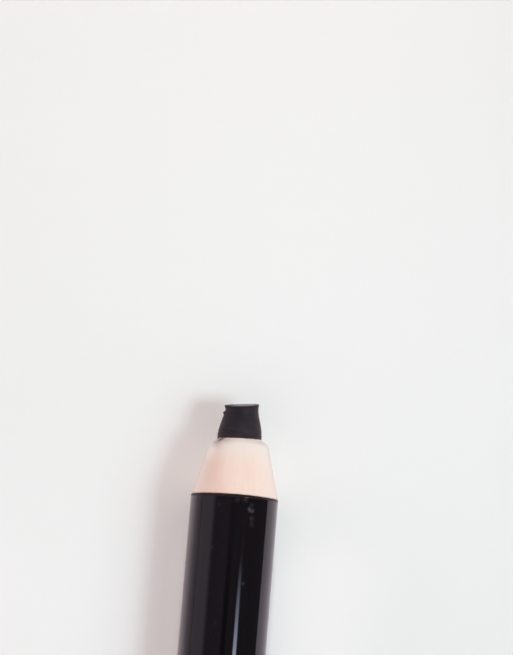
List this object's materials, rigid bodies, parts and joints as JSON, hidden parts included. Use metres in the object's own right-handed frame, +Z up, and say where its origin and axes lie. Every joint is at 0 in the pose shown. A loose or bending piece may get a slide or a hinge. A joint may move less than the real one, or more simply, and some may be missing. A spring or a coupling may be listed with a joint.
{
  "type": "lip liner pencil",
  "caption": "Chubby round wood-cased cosmetic liner pencil, sharpened, with a thick soft black core worn flat, a bare pale wood cone and a black lacquered barrel.",
  "frame": {"origin": "centre of the flat rear end, which the pencil stands on", "axes": "+Z up the pencil's axis from the rear end to the worn tip; the casing's glued seam lies in the XZ plane, and the worn tip is highest on its +X side and leans down to -Y"},
  "size_m": [0.011, 0.011, 0.1206],
  "materials": {
    "core_wax": "soft waxy black, matt with a faint sheen",
    "casing_wood": "bare sharpened pale wood, fine straight grain",
    "black_lacquer": "high gloss black lacquer"
  },
  "bodies": {
    "root": {"core": "core_wax", "casing_front_half": "casing_wood", "casing_back_half": "casing_wood", "lacquer_coat": "black_lacquer"}
  },
  "joints": []
}
